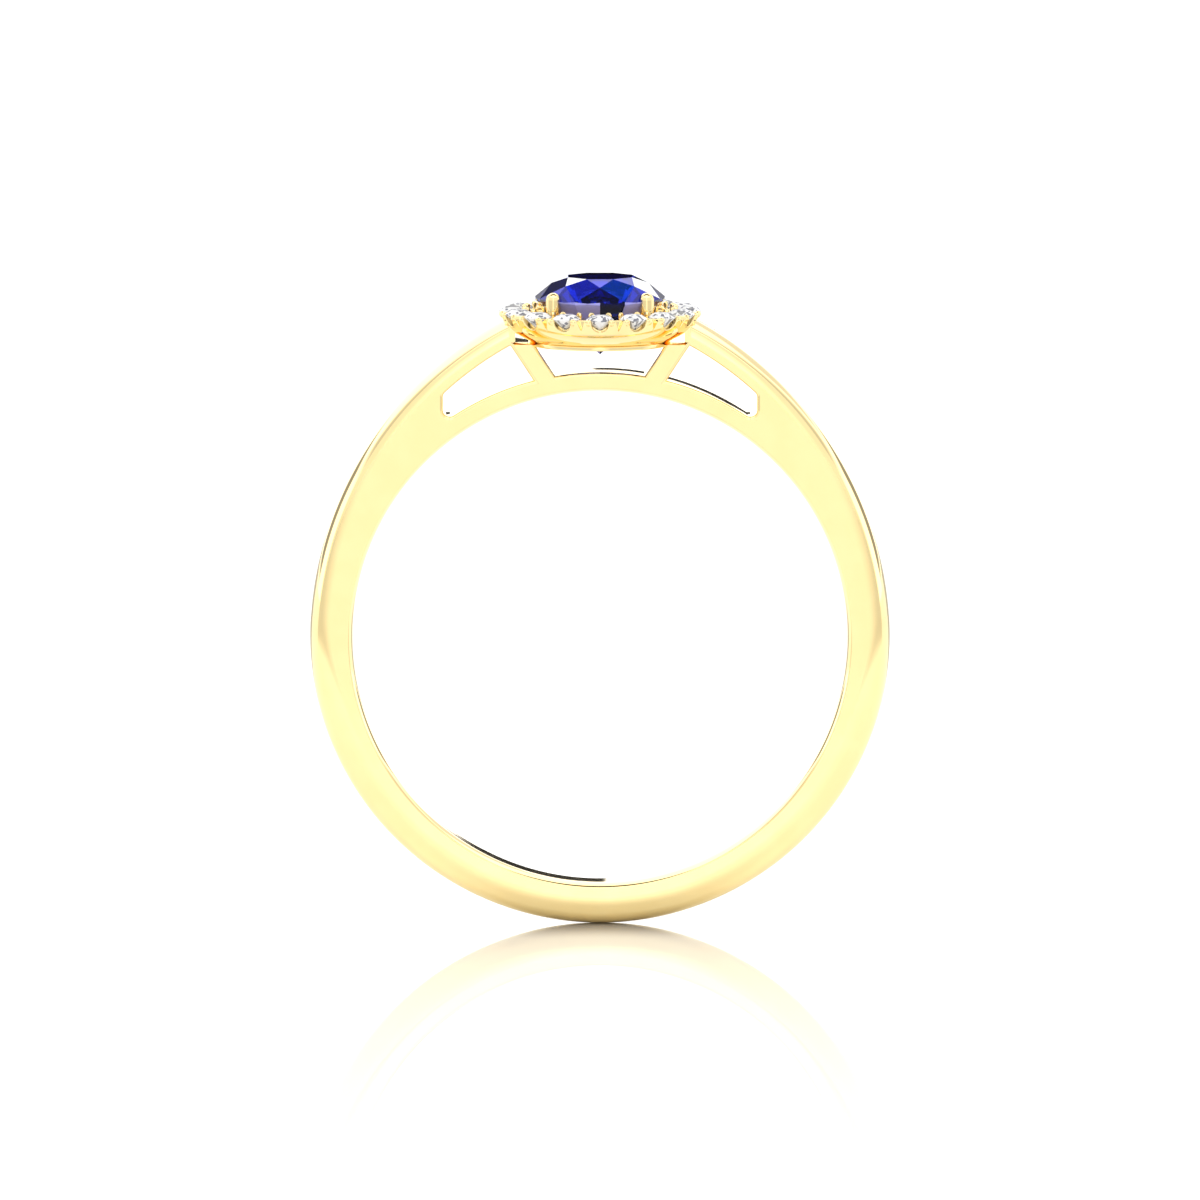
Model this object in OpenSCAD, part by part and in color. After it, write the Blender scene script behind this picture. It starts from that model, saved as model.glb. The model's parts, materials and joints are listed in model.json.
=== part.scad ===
// Halo engagement ring with a round centre stone, four claws, a ring of small
// round stones, open shoulders and a comfort-fit shank.
// Millimetres. The finger's axis is Y, the centre stone is up (+Z), and the
// origin is the middle of the finger hole.

$fn = 64;

/* [Finger hole] */
// Inside diameter of the ring
finger_d = 17.3; // [16.5:0.1:18]
// How wide the ring is along the finger
band_w = 2.0; // [1.8:0.1:2.2]
// Width of the straight stretch in the middle of the inner wall
crest_w = 1.0; // [0.8:0.1:1.2]
// How far the inner wall has curved away from the finger at its rims
comfort_rise = 0.14; // [0.1:0.02:0.2]

/* [Shank and shoulders] */
// Thickness of the shank, from the finger to its crown
shank_t = 1.5; // [1.4:0.05:1.6]
// Angle above the finger's centre at which the shank meets the shoulders
joint_angle = 4; // [2:1:8]
// How far each shoulder's arc is centred past the middle of the ring
shoulder_shift = 2.65; // [2.5:0.05:2.8]
// How far below the finger's centre that arc is centred
shoulder_drop = 0.18; // [0.1:0.02:0.24]
// Thickness of a shoulder arm above its window
arm_t = 0.88; // [0.8:0.02:0.96]
// Height of the dome on the shoulder's outside
dome_rise = 0.3; // [0.2:0.05:0.35]

/* [Finger bridge and struts] */
// Thickness of the bridge that closes the finger hole under the head
bridge_t = 0.73; // [0.6:0.01:0.8]
// Angle above the finger's centre at which the bridge meets the shoulders
bridge_angle = 56; // [55:1:58]
// Width of a strut, measured level
strut_w = 0.94; // [0.7:0.02:1]
// Half the distance between the struts' outer edges at the top
strut_top_x = 3.14; // [3.1:0.02:3.2]
// Half the distance between the struts' outer edges at the bottom
strut_foot_x = 2.37; // [2.3:0.01:2.5]

/* [Centre stone] */
// Diameter of the centre stone
stone_d = 4.55; // [4.4:0.05:4.6]
// Height of the centre stone's table above the finger's centre
table_z = 12.63; // [12.55:0.02:12.75]

/* [Halo] */
// Number of stones in the halo
halo_count = 16; // [14:1:16]
// Diameter of a halo stone
halo_stone_d = 0.96; // [0.9:0.02:0.98]
// Radius of the circle that the halo stones stand on
halo_pitch_r = 3.06; // [3.04:0.01:3.08]
// Height of the halo's top face above the finger's centre
halo_z = 11.4; // [11.35:0.01:11.45]
// Radius of the halo's outer wall
halo_r = 3.57; // [3.55:0.01:3.6]
// Diameter of a claw's stem
claw_d = 0.42; // [0.36:0.02:0.44]
// Distance of a claw's stem from the middle of the head
claw_r = 2.32; // [2.3:0.01:2.34]

/* [Hidden] */

gold = "gold";
sapphire_blue = "mediumblue";
diamond_white = "azure";

// Finger hole
finger_r = finger_d / 2;
half_band = band_w / 2;
round_y = crest_w / 2;
round_run = half_band - round_y;
round_r = (round_run * round_run + comfort_rise * comfort_rise) / (2 * comfort_rise);
reach = 20;

// Shoulders
shank_r = finger_r + shank_t;
shoulder_r = sqrt(pow(shank_r + shoulder_shift, 2) + pow(shoulder_drop, 2));
shoulder_depth = 2.8;
window_r = shoulder_r - arm_t;
dome_r = (half_band * half_band + dome_rise * dome_rise) / (2 * dome_rise);
bridge_r = finger_r + bridge_t;
window_corner_r = 0.22;
corner_x = bridge_r * cos(bridge_angle);
arc_steps = 12;
// A shoulder's inner arc is drawn up to this angle, past the end of the arm
arc_end = 80;

// Arm's end and struts
strut_top_z = sqrt(pow(window_r, 2) - pow(strut_top_x + shoulder_shift, 2)) - shoulder_drop;
strut_foot_z = sqrt(pow(bridge_r, 2) - pow(strut_foot_x, 2));
strut_lean = (strut_top_x - strut_foot_x) / (strut_top_z - strut_foot_z);
arm_end_bevel = 0.18;
arm_end_x = strut_top_x - arm_end_bevel;

// Basket ring and halo frame
ring_r = 2.5;
ring_bore_r = 2.0;
ring_top_z = halo_z - 1.0;
ring_h = 0.16;
// How far a strut's inner top corner stands above the basket ring's underside
strut_lap = 0.03;
frame_bore_r = 2.4;
frame_foot_bore_r = 2.15;
wall_foot_z = halo_z - 0.45;
halo_step = 360 / halo_count;

// Centre stone: parts of its own diameter
table_part = 0.532;
crown_part = 0.156;
girdle_part = 0.022;
pavilion_part = 0.427;
star_part = 0.5;
half_part = 0.77;

// Halo stones stand this far above the frame's top face, measured at the girdle
girdle_stand = 0.02;
small_table_part = 0.56;
small_crown_part = 0.15;
small_girdle_part = 0.03;
small_pavilion_part = 0.43;

// Setting cuts and beads
scallop_r = 0.29;
scallop_depth = 0.4;
scallop_from_r = halo_pitch_r + 0.12;
cut_depth = 0.36;
outer_cut_w = 0.26;
cut_clear = 0.04;
outer_cut_from_r = halo_pitch_r + 0.16;
inner_cut_w = 0.16;
inner_cut_to_r = halo_pitch_r - 0.22;
bead_r = 0.1;
bead_h = 0.16;
outer_bead = [halo_pitch_r + 0.33, 0.41];
inner_bead = [halo_pitch_r - 0.4, 0.32];

// Claws
claw_tip_r = 0.26;
claw_tip_in = 0.02;
claw_tip_z = table_z - 0.68;

function halo_name(i) = str("halo_diamond_", i < 10 ? "0" : "", i);
function polar(r, a, z) = [r * cos(a), r * sin(a), z];
function corner_point(x, z, r, a) = [x + r * cos(a), z + r * sin(a)];

// ---- Sections and helpers -------------------------------------------------

// Section (radius, along the finger) of everything outside the finger
module comfort_side() {
    translate([finger_r, -round_y]) square([reach, crest_w]);
    translate([finger_r + round_r, -round_y - round_r]) square([reach, 2 * (round_y + round_r)]);
    for (y = [-round_y, round_y]) translate([finger_r + round_r, y]) circle(round_r);
}

// A section turned about the finger's axis, from one angle through a sweep
module about_finger(from = 0, sweep = 360) {
    rotate([90, 0, 0]) rotate_extrude(angle = sweep, start = from) children();
}

// An outline in the ring's face (x, z), through the whole width of the band
module across_band(w = band_w) {
    rotate([90, 0, 0]) linear_extrude(height = w, center = true) children();
}

// The space that the finger takes, as wide as the band and more
module finger_space() {
    about_finger() difference() {
        translate([0, -band_w]) square([finger_r + 2 * comfort_rise, 2 * band_w]);
        comfort_side();
    }
}

// A band section between two radii with a comfort-fit inner side
module band_section(outer_r) {
    intersection() {
        translate([finger_r - 1, -half_band]) square([outer_r - finger_r + 1, band_w]);
        comfort_side();
    }
}

// ---- Shank and shoulders --------------------------------------------------

// Lower shank: half-round outside, comfort fit inside
module shank() {
    color(gold) about_finger(180 - joint_angle, 180 + 2 * joint_angle) intersection() {
        comfort_side();
        union() {
            translate([finger_r - 1, -half_band]) square([shank_t + 1 - half_band, band_w]);
            translate([shank_r - half_band, 0]) circle(half_band);
        }
    }
}

// Outline of a side window in the right shoulder: a round-cornered end, then the
// arm's arc up to the middle. Its lower side lies inside the bridge's own space.
module window_outline() {
    r = window_corner_r;
    low_z = sqrt(pow(bridge_r + r, 2) - pow(corner_x, 2));
    high_z = sqrt(pow(window_r - r, 2) - pow(corner_x + shoulder_shift, 2)) - shoulder_drop;
    low_a = atan2(low_z, corner_x);
    high_a = atan2(high_z + shoulder_drop, corner_x + shoulder_shift);
    polygon(concat(
        [for (k = [0:arc_steps])
            corner_point(corner_x, low_z, r, low_a - 180 + k * (180 - low_a) / arc_steps)],
        [for (k = [0:arc_steps]) corner_point(corner_x, high_z, r, k * high_a / arc_steps)],
        [for (k = [1:arc_steps])
            corner_point(-shoulder_shift, -shoulder_drop, window_r, high_a + k * (arc_end - high_a) / arc_steps)],
        [[0, finger_r - 1]]
    ));
}

// Where the right shoulder arm stops: the strut's outer edge, then the arm's end
module head_side_outline() {
    far_x = -2 * shoulder_shift;
    foot_z = finger_r - 1;
    polygon([
        [strut_top_x, strut_top_z],
        [arm_end_x, strut_top_z + arm_end_bevel],
        [arm_end_x, reach],
        [far_x, reach],
        [far_x, foot_z],
        [strut_top_x - strut_lean * (strut_top_z - foot_z), foot_z]
    ]);
}

// Right shoulder: a domed arc that leaves the round of the finger and rises to the head
module shoulder() {
    color(gold) difference() {
        translate([-shoulder_shift, 0, -shoulder_drop]) about_finger(0, 90) intersection() {
            translate([shoulder_r - shoulder_depth, -half_band]) square([shoulder_depth, band_w]);
            translate([shoulder_r - dome_r, 0]) circle(dome_r);
        }
        finger_space();
        rotate([0, -joint_angle, 0]) translate([0, -band_w, -reach]) cube([reach, 2 * band_w, reach]);
        about_finger(bridge_angle, 90 - bridge_angle) translate([0, -band_w]) square([bridge_r, 2 * band_w]);
        across_band(2 * band_w) window_outline();
        across_band(2 * band_w) head_side_outline();
        head_space();
    }
}

module right_shoulder() { shoulder(); }
module left_shoulder() { mirror([1, 0, 0]) shoulder(); }

// ---- Bridge and struts ----------------------------------------------------

// Bridge: the thin arc over the finger, under the head
module finger_bridge() {
    color(gold) about_finger(bridge_angle, 180 - 2 * bridge_angle) band_section(bridge_r);
}

// Right strut: a flat leaning bar from the bridge to the basket ring
module strut() {
    top_in_x = strut_top_x - strut_w;
    foot_z = finger_r;
    foot_out_x = strut_top_x - strut_lean * (strut_top_z - foot_z);
    color(gold) difference() {
        across_band() polygon([
            [strut_top_x, strut_top_z],
            [arm_end_x, strut_top_z + arm_end_bevel],
            [top_in_x, ring_top_z - ring_h + strut_lap],
            [foot_out_x - strut_w, foot_z],
            [foot_out_x, foot_z]
        ]);
        about_finger() translate([0, -band_w]) square([bridge_r, 2 * band_w]);
        head_space();
    }
}

module right_strut() { strut(); }
module left_strut() { mirror([1, 0, 0]) strut(); }

// ---- Head -----------------------------------------------------------------

// Everything that the basket ring and the halo frame fill, and the space above them
module head_space() {
    foot_z = ring_top_z - ring_h;
    rotate_extrude() polygon([
        [0, reach], [halo_r, reach], [halo_r, wall_foot_z], [ring_r, ring_top_z], [ring_r, foot_z], [0, foot_z]
    ]);
}

// Basket ring: the plain ring that carries the claws and joins them to the struts
module basket_ring() {
    color(gold) translate([0, 0, ring_top_z - ring_h]) difference() {
        cylinder(r = ring_r, h = ring_h);
        translate([0, 0, -ring_h]) cylinder(r = ring_bore_r, h = 3 * ring_h);
    }
}

// The space a round stone takes when it is turned about its own axis
module stone_space(d, crown, girdle, pavilion, head) {
    translate([0, 0, -pavilion]) cylinder(r1 = 0, r2 = d / 2, h = pavilion);
    cylinder(r = d / 2, h = girdle + head);
    if (head == 0) translate([0, 0, girdle]) cylinder(r1 = d / 2, r2 = table_part * d / 2, h = crown);
}

// One halo stone's seat, and the round scallop that shows the stone in the outer wall
module halo_seat() {
    small_girdle = small_girdle_part * halo_stone_d;
    translate([halo_pitch_r, 0, halo_z + girdle_stand - small_girdle])
        stone_space(halo_stone_d, 0, small_girdle, small_pavilion_part * halo_stone_d, 1);
    translate([scallop_from_r, 0, halo_z - scallop_depth + scallop_r]) rotate([90, 0, 90])
        linear_extrude(height = 1) union() {
            circle(scallop_r);
            translate([-scallop_r, 0]) square([2 * scallop_r, 1]);
        }
}

// V-shaped cuts between two stones, one from outside and one from inside
module split_cut() {
    for (c = [[outer_cut_from_r, outer_cut_w], [inner_cut_to_r - 1, inner_cut_w]]) {
        side = c[1] / 2 * (1 + cut_clear / cut_depth);
        translate([c[0], 0, halo_z]) rotate([90, 0, 90]) linear_extrude(height = 1)
            polygon([[-side, cut_clear], [0, -cut_depth], [side, cut_clear], [side, 1], [-side, 1]]);
    }
}

// The four beads that hold one halo stone, as short posts of their height
module halo_beads() {
    for (bead = [outer_bead, inner_bead]) for (side = [-1, 1])
        translate([bead[0], side * bead[1], halo_z - bead_h]) cylinder(r = bead_r, h = 2 * bead_h);
}

// Halo frame: a shallow bowl whose rim is cut into seats, scallops and beads
module halo_frame() {
    color(gold) difference() {
        union() {
            rotate_extrude() polygon([
                [frame_bore_r, halo_z], [halo_r, halo_z], [halo_r, wall_foot_z],
                [ring_r, ring_top_z], [frame_foot_bore_r, ring_top_z]
            ]);
            for (i = [1:halo_count]) rotate(halo_angle(i)) halo_beads();
        }
        for (i = [1:halo_count]) rotate(halo_angle(i)) {
            halo_seat();
            rotate(halo_step / 2) split_cut();
        }
        for (k = [1:4]) rotate(claw_angle(k)) translate([claw_r, 0, 0]) cylinder(d = claw_d, h = reach);
    }
}

// Stone 1 stands at the front, and the others follow it round
function halo_angle(i) = -90 + (i - 1) * halo_step;
function claw_angle(k) = -45 + (k - 1) * 90;

// Claw: a round stem with a ball tip that is notched for the centre stone
module claw(k) {
    color(gold) difference() {
        rotate(claw_angle(k)) union() {
            translate([claw_r, 0, ring_top_z]) cylinder(d = claw_d, h = claw_tip_z - ring_top_z);
            translate([claw_r - claw_tip_in, 0, claw_tip_z]) sphere(claw_tip_r);
        }
        translate([0, 0, girdle_z])
            stone_space(stone_d, crown_part * stone_d, girdle_part * stone_d, pavilion_part * stone_d, 0);
    }
}

// ---- Stones ---------------------------------------------------------------

// Underside of the centre stone's girdle
girdle_z = table_z - (crown_part + girdle_part) * stone_d;

// Round brilliant cut: table, 8 stars, 8 kites, 16 upper halves, a girdle that
// waves with them, 16 lower halves and 8 pavilion mains. The girdle's underside
// is at z = 0, and the table has a level edge on each axis.
module brilliant(d, table, crown, girdle, pavilion) {
    r = d / 2;
    table_r = r * table;
    crown_slope = d * crown / (r - table_r);
    pavilion_slope = d * pavilion / r;
    star_r = table_r * cos(22.5) + star_part * (r - table_r * cos(22.5));
    half_r = (1 - half_part) * r;
    top = d * girdle;
    star_z = top + (r - star_r * cos(22.5)) * crown_slope;
    half_z = -(r - half_r * cos(22.5)) * pavilion_slope;
    // how far the girdle's edges rise or fall between two facet corners
    upper_slope = (star_z - top) / (r * cos(11.25) - star_r * cos(11.25));
    lower_slope = -half_z / (r * cos(11.25) - half_r * cos(11.25));
    upper_wave = r * (1 - cos(11.25)) * upper_slope;
    lower_wave = r * (1 - cos(11.25)) * lower_slope;

    tables = [for (k = [0:7]) polar(table_r, 22.5 + 45 * k, top + d * crown)];
    stars = [for (k = [0:7]) polar(star_r, 45 + 45 * k, star_z)];
    uppers = [for (j = [0:31]) polar(r, 22.5 + 11.25 * j, top - (j % 2) * upper_wave)];
    lowers = [for (j = [0:31]) polar(r, 22.5 + 11.25 * j, (j % 2) * lower_wave)];
    halves = [for (k = [0:7]) polar(half_r, 45 + 45 * k, half_z)];
    points = concat(tables, stars, uppers, lowers, halves, [[0, 0, -d * pavilion]]);

    s = 8;
    u = 16;
    l = 48;
    h = 80;
    culet = 88;
    faces = concat(
        [[for (k = [7:-1:0]) k]],
        [for (k = [0:7]) [k, (k + 1) % 8, s + k]],
        [for (k = [0:7]) [k, s + k, u + 4 * k]],
        [for (k = [0:7]) [k, u + 4 * k, s + (k + 7) % 8]],
        [for (k = [0:7]) each [
            [s + k, u + 4 * k + 1, u + 4 * k], [s + k, u + 4 * k + 2, u + 4 * k + 1],
            [s + k, u + 4 * k + 3, u + 4 * k + 2], [s + k, u + (4 * k + 4) % 32, u + 4 * k + 3]]],
        [for (j = [0:31]) [u + j, u + (j + 1) % 32, l + (j + 1) % 32, l + j]],
        [for (k = [0:7]) each [
            [h + k, l + 4 * k, l + 4 * k + 1], [h + k, l + 4 * k + 1, l + 4 * k + 2],
            [h + k, l + 4 * k + 2, l + 4 * k + 3], [h + k, l + 4 * k + 3, l + (4 * k + 4) % 32]]],
        [for (k = [0:7]) [culet, h + (k + 7) % 8, l + 4 * k]],
        [for (k = [0:7]) [culet, l + 4 * k, h + k]]);
    polyhedron(points, faces);
}

// Centre sapphire, its girdle just above the halo
module centre_sapphire() {
    color(sapphire_blue) translate([0, 0, girdle_z])
        brilliant(stone_d, table_part, crown_part, girdle_part, pavilion_part);
}

// One halo diamond, numbered round from the front
module halo_diamond(i) {
    small_girdle = small_girdle_part * halo_stone_d;
    color(diamond_white) rotate(halo_angle(i))
        translate([halo_pitch_r, 0, halo_z + girdle_stand - small_girdle])
            brilliant(halo_stone_d, small_table_part, small_crown_part, small_girdle_part, small_pavilion_part);
}

// ---- Nodes ----------------------------------------------------------------

shank();
left_shoulder();
right_shoulder();
finger_bridge();
left_strut();
right_strut();
basket_ring();
halo_frame();
for (k = [1:4]) claw(k);
centre_sapphire();
for (i = [1:halo_count]) halo_diamond(i);
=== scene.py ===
# %% [markdown]
# # A halo engagement ring in yellow gold
# The ring is a plain hoop whose shoulders open into two windows and carry a round blue stone
# inside a halo of sixteen small white ones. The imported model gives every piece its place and
# size. This lesson gives each piece the finely curved surface that a polished metal needs.

import json
import math

import bmesh
import bpy
import numpy as np
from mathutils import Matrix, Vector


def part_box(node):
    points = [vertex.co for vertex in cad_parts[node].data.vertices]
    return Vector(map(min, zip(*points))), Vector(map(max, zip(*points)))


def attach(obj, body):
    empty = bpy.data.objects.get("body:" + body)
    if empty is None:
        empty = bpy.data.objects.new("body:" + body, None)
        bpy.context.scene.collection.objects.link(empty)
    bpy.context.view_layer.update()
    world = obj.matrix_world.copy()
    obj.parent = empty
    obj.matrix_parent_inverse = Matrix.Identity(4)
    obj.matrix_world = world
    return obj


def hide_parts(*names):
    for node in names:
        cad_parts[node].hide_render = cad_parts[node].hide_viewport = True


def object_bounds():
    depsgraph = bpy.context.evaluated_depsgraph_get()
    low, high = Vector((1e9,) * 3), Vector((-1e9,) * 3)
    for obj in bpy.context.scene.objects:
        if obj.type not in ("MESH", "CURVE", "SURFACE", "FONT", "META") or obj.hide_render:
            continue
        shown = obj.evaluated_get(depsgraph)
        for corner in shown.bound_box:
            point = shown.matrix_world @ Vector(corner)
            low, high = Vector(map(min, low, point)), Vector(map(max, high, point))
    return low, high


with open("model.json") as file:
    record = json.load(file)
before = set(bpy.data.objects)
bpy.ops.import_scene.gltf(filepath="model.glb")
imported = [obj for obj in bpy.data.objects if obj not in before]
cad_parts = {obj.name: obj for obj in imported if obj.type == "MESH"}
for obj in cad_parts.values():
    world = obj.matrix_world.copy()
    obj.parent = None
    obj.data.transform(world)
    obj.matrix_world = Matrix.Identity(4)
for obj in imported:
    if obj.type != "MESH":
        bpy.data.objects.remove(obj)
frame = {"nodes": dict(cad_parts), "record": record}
cad_low, cad_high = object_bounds()
print("model box, mm:", [round(1000 * v, 2) for v in (*cad_low, *cad_high)])

# %% [markdown]
# ## Sizes
# A goldsmith writes sizes in millimetres, so the shapes are drawn in millimetres and made small
# at the last step. What the model can tell is read from it: the finger hole is its mount, and
# the widths and heights are the boxes of its nodes. What a box can't tell is named here.

# %% Read the ring's sizes from the model
MM = 0.001


def span(node):
    """Lowest and highest corner of a node of the model, in millimetres."""
    low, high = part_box(node)
    return np.array(low) / MM, np.array(high) / MM


finger_r = next(m["dims"]["r_mm"] for m in frame["record"]["mounts"] if m["name"] == "finger_hole")
shank_low, shank_high = span("shank")
half_band = shank_high[1]
shank_r = -shank_low[2]
bridge_r = span("finger_bridge")[1][2]
collar_low, collar_high = span("basket_ring")
halo_low, halo_high = span("halo_frame")
halo_r = halo_high[0]
print("finger radius", finger_r, "shank radius", round(shank_r, 3), "bridge radius", round(bridge_r, 3))

# %% Name what the boxes can't tell
joint_angle = math.radians(4)
bridge_angle = math.radians(56)
shoulder_centre = np.array([-2.65, -0.18])
shoulder_r = math.hypot(shank_r - shoulder_centre[0], shoulder_centre[1])
window_r = shoulder_r - 0.88
corner_r = 0.22
corner_x = bridge_r * math.cos(bridge_angle)
strut_top_x = 3.14
strut_foot_x = 2.37
strut_w = 0.94
arm_end_bevel = 0.18

# %% [markdown]
# ## Shader maths
# A finish is easier to read as arithmetic than as a web of boxes. A small class wraps a socket,
# so that an expression such as `0.04 + 0.03 * polish` adds its own Math nodes. Any other node
# comes from one method, which sets the node's options first and its sockets after them. It
# hands back the output that is asked for, by name or by number, or several at once.


# %% Wrap sockets, and add nodes by name
TO_DEGREES = 180 / math.pi


class Wire:
    """One output of a shader node, which takes part in Python arithmetic."""

    def __init__(self, finish, socket):
        self.finish = finish
        self.socket = socket

    def join(self, operation, left, right):
        """The Math node of an operation on two values."""
        return self.finish.node("ShaderNodeMath", {"operation": operation}, {0: left, 1: right})

    def __add__(self, other):
        return self.join("ADD", self, other)

    def __radd__(self, other):
        return self.join("ADD", other, self)

    def __sub__(self, other):
        return self.join("SUBTRACT", self, other)

    def __rsub__(self, other):
        return self.join("SUBTRACT", other, self)

    def __mul__(self, other):
        return self.join("MULTIPLY", self, other)

    def __rmul__(self, other):
        return self.join("MULTIPLY", other, self)


class Finish:
    """The nodes of one material or of the world."""

    def __init__(self, owner):
        owner.use_nodes = True
        self.owner = owner
        self.tree = owner.node_tree
        self.tree.nodes.clear()

    def node(self, kind, settings=None, values=None, out=0):
        """A node of any kind, as the Wire of its output, or a list of Wires where out is a tuple."""
        made = self.tree.nodes.new(kind)
        for name, value in (settings or {}).items():
            setattr(made, name, value)
        for name, value in (values or {}).items():
            if isinstance(value, Wire):
                self.tree.links.new(value.socket, made.inputs[name])
            else:
                made.inputs[name].default_value = value
        if isinstance(out, tuple):
            return [Wire(self, made.outputs[k]) for k in out]
        return Wire(self, made.outputs[out]) if len(made.outputs) else made

    def blend(self, factor, first, second):
        """A colour between two others."""
        settings = {"data_type": "RGBA"}
        return self.node("ShaderNodeMix", settings, {0: factor, 6: first, 7: second}, out=2)

    def ease(self, value, start, end):
        """0 where value is at start and 1 where it is at end, with soft ends."""
        settings = {"interpolation_type": "SMOOTHSTEP"}
        return self.node("ShaderNodeMapRange", settings, {0: value, 1: start, 2: end})

    def turn_of(self, x, y):
        """Angle in degrees from straight behind the ring, positive to its right."""
        return self.node("ShaderNodeMath", {"operation": "ARCTAN2"}, {0: x, 1: y}) * TO_DEGREES

    def size_of(self, value):
        """The value without its sign."""
        return self.node("ShaderNodeMath", {"operation": "ABSOLUTE"}, {0: value})

    def surface(self, shader):
        """Ends the finish, and says how many nodes it took."""
        is_world = isinstance(self.owner, bpy.types.World)
        kind = "ShaderNodeOutputWorld" if is_world else "ShaderNodeOutputMaterial"
        self.node(kind, {}, {"Surface": shader})
        print(self.owner.name, "is made of", len(self.tree.nodes), "nodes")


# %% [markdown]
# ## Yellow gold
# Polished gold is all reflection: its colour is a warm tint on whatever it mirrors. A buffing
# wheel leaves it almost perfect, with faint soft patches and hair-fine lines that run the way
# the wheel turned. Those are roughness and a very slight bump, never paint.

# %% Make the gold
GOLD = (0.985, 0.795, 0.40, 1)
GOLD_WARM = (0.97, 0.76, 0.365, 1)


def make_gold():
    """Polished gold with soft patches and the hairlines of the buffing wheel."""
    material = bpy.data.materials.new("polished_gold")
    gold = Finish(material)
    place = gold.node("ShaderNodeTexCoord", out="Object")
    patches = gold.node("ShaderNodeTexNoise", {}, {"Vector": place, "Scale": 900, "Detail": 3})
    stretched = gold.node("ShaderNodeMapping", {}, {"Vector": place, "Scale": (1, 0.04, 1)})
    lines = gold.node("ShaderNodeTexNoise", {}, {"Vector": stretched, "Scale": 9000, "Detail": 2})
    polish = gold.ease(patches, 0.35, 0.65)
    hairline = {"Strength": 0.012, "Distance": 0.00001, "Height": lines}
    gold.surface(gold.node("ShaderNodeBsdfPrincipled", {}, {
        "Base Color": gold.blend(polish * 0.5, GOLD, GOLD_WARM),
        "Metallic": 1.0,
        "Roughness": 0.035 + 0.03 * polish + 0.02 * lines,
        "Normal": gold.node("ShaderNodeBump", {}, hairline),
    }))
    return material


gold = make_gold()

# %% [markdown]
# ## The two gems
# A cut stone is clear and flat-faced. What it shows is light that went in, bounced off the
# facets below and came out again, so the material sets how strongly light bends and which
# colours survive the trip. The blue stone has soft colour zones, as a natural one has. A plain
# white room gives a stone little to mirror, so each facet also carries a painted reflection: a
# matt layer in a flat colour that sends back the room's light. How much, and in which colour,
# is written on the facets when the stone is cut. In the white stones that painted reflection is
# broken into small painted grey specks, like the dark specks a real halo shows.


# %% Make the blue and the white stone
# grey and size of the painted dark specks in the white stones' painted reflections
PAINTED_SPECK_GREY = (0.24, 0.25, 0.30, 1)
PAINTED_SPECK_SCALE = 10500


def make_gem(name, deep, bright, bend, scale, gleam, painted_specks):
    """A clear stone. Its face attributes hold each facet's painted reflection: how much of it shows, and
    its colour.
    """
    material = bpy.data.materials.new(name)
    gem = Finish(material)
    place = gem.node("ShaderNodeTexCoord", out="Object")
    cloud = gem.node("ShaderNodeTexNoise", {}, {"Vector": place, "Scale": scale, "Detail": 2})
    zones = gem.ease(cloud, 0.35, 0.65)
    # each facet's painted reflection: its colour and how much of it shows
    glow = gem.node("ShaderNodeAttribute", {"attribute_name": "glow"}, out="Color")
    share = gem.node("ShaderNodeAttribute", {"attribute_name": "share"}, out=2)
    cells = gem.node("ShaderNodeTexVoronoi", {}, {"Vector": place, "Scale": PAINTED_SPECK_SCALE}, out="Color")
    # painted dark specks broken into the painted reflection
    painted_speck = gem.ease(gem.node("ShaderNodeSeparateColor", {}, {0: cells}), 0.78, 0.82) * painted_specks
    clear = gem.node("ShaderNodeBsdfPrincipled", {}, {
        "Base Color": gem.blend(zones, deep, bright),
        "Roughness": 0.006 + 0.004 * zones,
        "IOR": bend,
        "Specular IOR Level": gleam,
        "Transmission Weight": 1.0,
    })
    # a matt layer that shows the facet's painted reflection colour in the room's light
    painted_flash = gem.node("ShaderNodeBsdfPrincipled", {}, {
        "Base Color": gem.blend(painted_speck, glow, PAINTED_SPECK_GREY),
        "Roughness": 0.3 + 0.05 * zones,
        "Specular IOR Level": 0.0,
    })
    gem.surface(gem.node("ShaderNodeMixShader", {}, {0: share, 1: clear, 2: painted_flash}))
    return material


sapphire = make_gem("blue_sapphire", (0.006, 0.014, 0.58, 1), (0.012, 0.05, 0.82, 1),
                    bend=1.77, scale=500, gleam=0.05, painted_specks=0.0)
diamond = make_gem("white_diamond", (0.97, 0.975, 0.98, 1), (1, 1, 1, 1),
                   bend=2.42, scale=1500, gleam=0.5, painted_specks=1.0)

# %% [markdown]
# ## From points to pieces
# Every gold piece of the hoop is a plate: an outline seen along the finger, with a rim that is
# shaped across the band. So a piece is a ring of columns. Each column is one point of the
# outline followed over the rim from the back face to the front face, and two flat faces close
# the sides. The edges that border a flat face are marked sharp, so the flats stay true.


# %% Build a plate from its columns
def finish_piece(mesh, name, material, slot, *nodes):
    """A mesh drawn in millimetres becomes a piece that stands for nodes of the model."""
    mesh.materials.append(material)
    piece = bpy.data.objects.new(name, mesh)
    bpy.context.scene.collection.objects.link(piece)
    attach(piece, "root")
    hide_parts(*nodes)
    print(name, len(mesh.vertices), "vertices,", len(mesh.polygons), "faces")


def closed_mesh(work, name):
    """The mesh of a finished shape, with every face turned outward."""
    bmesh.ops.recalc_face_normals(work, faces=work.faces)
    mesh = bpy.data.meshes.new(name)
    work.to_mesh(mesh)
    work.free()
    return mesh


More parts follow.
